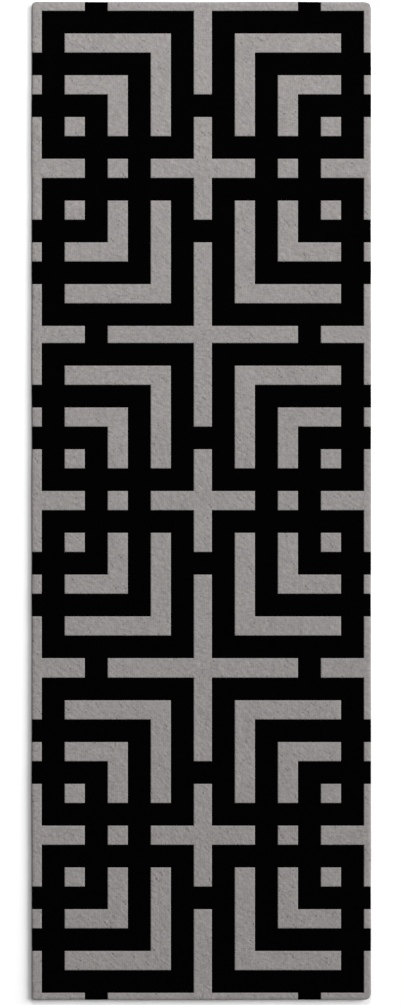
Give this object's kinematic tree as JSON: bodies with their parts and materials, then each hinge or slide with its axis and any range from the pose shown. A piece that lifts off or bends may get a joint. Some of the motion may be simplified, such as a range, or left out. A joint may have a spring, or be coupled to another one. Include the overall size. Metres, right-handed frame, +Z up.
{
  "type": "runner rug",
  "caption": "Long narrow hand-tufted rug with cut pile, a black fret of bars on warm grey, square corners and a taped cloth back, for a hall or bedside floor.",
  "frame": {"origin": "on the floor, under the middle of the rug", "axes": "+Y along the rug's length, towards its far end; +X across it, to the right; +Z up, out of the pile"},
  "size_m": [0.828, 2.44, 0.0133],
  "materials": {
    "black_wool": "cut wool pile, deep black, matt",
    "grey_wool": "cut wool pile, warm mid grey, matt with a faint sheen",
    "tufting_cotton": "plain-woven ecru cotton",
    "latex": "dried natural latex, satin",
    "backing_canvas": "plain-woven natural cotton canvas, matt",
    "binding_tape": "herringbone cotton tape, charcoal, matt"
  },
  "bodies": {
    "root": {"backing_cloth": "backing_canvas", "binding_tape_far": "binding_tape", "binding_tape_left": "binding_tape", "binding_tape_near": "binding_tape", "binding_tape_right": "binding_tape", "black_pile_lattice": "black_wool", "grey_border_left": "grey_wool", "grey_border_right": "grey_wool", "grey_centre_cross_1": "grey_wool", "grey_centre_cross_2": "grey_wool", "grey_centre_cross_3": "grey_wool", "grey_end_tee_far": "grey_wool", "grey_end_tee_near": "grey_wool", "grey_joining_cross_1": "grey_wool", "grey_joining_cross_2": "grey_wool", "grey_large_corner_1_left_lower": "grey_wool", "grey_large_corner_1_left_upper": "grey_wool", "grey_large_corner_1_right_lower": "grey_wool", "grey_large_corner_1_right_upper": "grey_wool", "grey_large_corner_2_left_lower": "grey_wool", "grey_large_corner_2_left_upper": "grey_wool", "grey_large_corner_2_right_lower": "grey_wool", "grey_large_corner_2_right_upper": "grey_wool", "grey_large_corner_3_left_lower": "grey_wool", "grey_large_corner_3_left_upper": "grey_wool", "grey_large_corner_3_right_lower": "grey_wool", "grey_large_corner_3_right_upper": "grey_wool", "grey_small_corner_1_left_lower": "grey_wool", "grey_small_corner_1_left_upper": "grey_wool", "grey_small_corner_1_right_lower": "grey_wool", "grey_small_corner_1_right_upper": "grey_wool", "grey_small_corner_2_left_lower": "grey_wool", "grey_small_corner_2_left_upper": "grey_wool", "grey_small_corner_2_right_lower": "grey_wool", "grey_small_corner_2_right_upper": "grey_wool", "grey_small_corner_3_left_lower": "grey_wool", "grey_small_corner_3_left_upper": "grey_wool", "grey_small_corner_3_right_lower": "grey_wool", "grey_small_corner_3_right_upper": "grey_wool", "grey_square_1_left_lower": "grey_wool", "grey_square_1_left_middle": "grey_wool", "grey_square_1_left_upper": "grey_wool", "grey_square_1_right_lower": "grey_wool", "grey_square_1_right_middle": "grey_wool", "grey_square_1_right_upper": "grey_wool", "grey_square_2_left_lower": "grey_wool", "grey_square_2_left_middle": "grey_wool", "grey_square_2_left_upper": "grey_wool", "grey_square_2_right_lower": "grey_wool", "grey_square_2_right_middle": "grey_wool", "grey_square_2_right_upper": "grey_wool", "grey_square_3_left_lower": "grey_wool", "grey_square_3_left_middle": "grey_wool", "grey_square_3_left_upper": "grey_wool", "grey_square_3_right_lower": "grey_wool", "grey_square_3_right_middle": "grey_wool", "grey_square_3_right_upper": "grey_wool", "latex_coat": "latex", "tufting_cloth": "tufting_cotton"}
  },
  "joints": []
}
